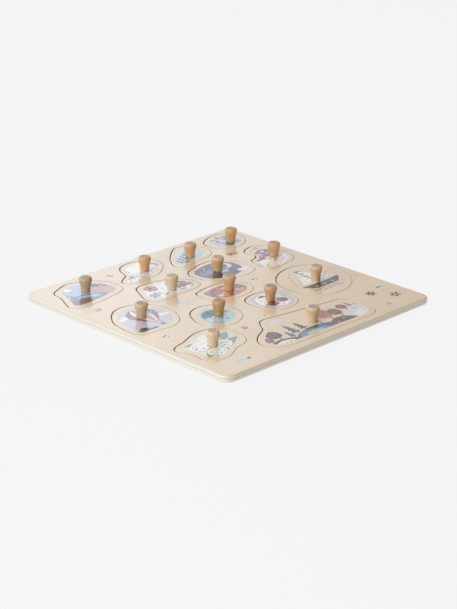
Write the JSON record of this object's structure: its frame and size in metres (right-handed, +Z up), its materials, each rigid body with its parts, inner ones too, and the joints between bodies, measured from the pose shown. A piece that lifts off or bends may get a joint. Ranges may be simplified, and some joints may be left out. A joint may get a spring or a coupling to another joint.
{
  "type": "peg puzzle",
  "caption": "Square laminated wooden board with wavy cut-outs, each holding a flat printed puzzle piece that lifts out by a turned wooden peg.",
  "frame": {"origin": "centre of the board's underside", "axes": "+Z up out of the board's printed face, +X and +Y along the board's sides"},
  "size_m": [0.3, 0.3, 0.0235],
  "materials": {
    "board_ply": "satin varnish on birch plywood",
    "back_ply": "satin varnish on birch plywood",
    "peg_beech": "turned beech with clear varnish",
    "pond_print": "printed and varnished plywood",
    "balloon_print": "printed and varnished plywood",
    "egg_print": "printed and varnished plywood",
    "cloud_print": "printed and varnished plywood",
    "daisy_print": "printed and varnished plywood",
    "umbrella_print": "printed and varnished plywood",
    "forest_print": "printed and varnished plywood",
    "fern_print": "printed and varnished plywood",
    "moon_print": "printed and varnished plywood",
    "acorn_print": "printed and varnished plywood",
    "cherry_print": "printed and varnished plywood",
    "berry_print": "printed and varnished plywood",
    "mushroom_print": "printed and varnished plywood",
    "boat_print": "printed and varnished plywood"
  },
  "bodies": {
    "board": {"base_panel": "back_ply", "frame_panel": "board_ply"},
    "pond": {"pond_piece": "pond_print", "pond_peg": "peg_beech"},
    "balloon": {"balloon_piece": "balloon_print", "balloon_peg": "peg_beech"},
    "egg": {"egg_piece": "egg_print", "egg_peg": "peg_beech"},
    "cloud": {"cloud_piece": "cloud_print", "cloud_peg": "peg_beech"},
    "daisy": {"daisy_piece": "daisy_print", "daisy_peg": "peg_beech"},
    "umbrella": {"umbrella_piece": "umbrella_print", "umbrella_peg": "peg_beech"},
    "forest": {"forest_piece": "forest_print", "forest_peg": "peg_beech"},
    "fern": {"fern_piece": "fern_print", "fern_peg": "peg_beech"},
    "moon": {"moon_piece": "moon_print", "moon_peg": "peg_beech"},
    "acorn": {"acorn_piece": "acorn_print", "acorn_peg": "peg_beech"},
    "cherry": {"cherry_piece": "cherry_print", "cherry_peg": "peg_beech"},
    "berry": {"berry_piece": "berry_print", "berry_peg": "peg_beech"},
    "mushroom": {"mushroom_piece": "mushroom_print", "mushroom_peg": "peg_beech"},
    "boat": {"boat_piece": "boat_print", "boat_peg": "peg_beech"}
  },
  "joints": [
    {"name": "pond_lift", "type": "slide", "parent": "board", "child": "pond", "axis": [0, 0, 1], "range_m": [0, 0.04]},
    {"name": "balloon_lift", "type": "slide", "parent": "board", "child": "balloon", "axis": [0, 0, 1], "range_m": [0, 0.04]},
    {"name": "egg_lift", "type": "slide", "parent": "board", "child": "egg", "axis": [0, 0, 1], "range_m": [0, 0.04]},
    {"name": "cloud_lift", "type": "slide", "parent": "board", "child": "cloud", "axis": [0, 0, 1], "range_m": [0, 0.04]},
    {"name": "daisy_lift", "type": "slide", "parent": "board", "child": "daisy", "axis": [0, 0, 1], "range_m": [0, 0.04]},
    {"name": "umbrella_lift", "type": "slide", "parent": "board", "child": "umbrella", "axis": [0, 0, 1], "range_m": [0, 0.04]},
    {"name": "forest_lift", "type": "slide", "parent": "board", "child": "forest", "axis": [0, 0, 1], "range_m": [0, 0.04]},
    {"name": "fern_lift", "type": "slide", "parent": "board", "child": "fern", "axis": [0, 0, 1], "range_m": [0, 0.04]},
    {"name": "moon_lift", "type": "slide", "parent": "board", "child": "moon", "axis": [0, 0, 1], "range_m": [0, 0.04]},
    {"name": "acorn_lift", "type": "slide", "parent": "board", "child": "acorn", "axis": [0, 0, 1], "range_m": [0, 0.04]},
    {"name": "cherry_lift", "type": "slide", "parent": "board", "child": "cherry", "axis": [0, 0, 1], "range_m": [0, 0.04]},
    {"name": "berry_lift", "type": "slide", "parent": "board", "child": "berry", "axis": [0, 0, 1], "range_m": [0, 0.04]},
    {"name": "mushroom_lift", "type": "slide", "parent": "board", "child": "mushroom", "axis": [0, 0, 1], "range_m": [0, 0.04]},
    {"name": "boat_lift", "type": "slide", "parent": "board", "child": "boat", "axis": [0, 0, 1], "range_m": [0, 0.04]}
  ]
}
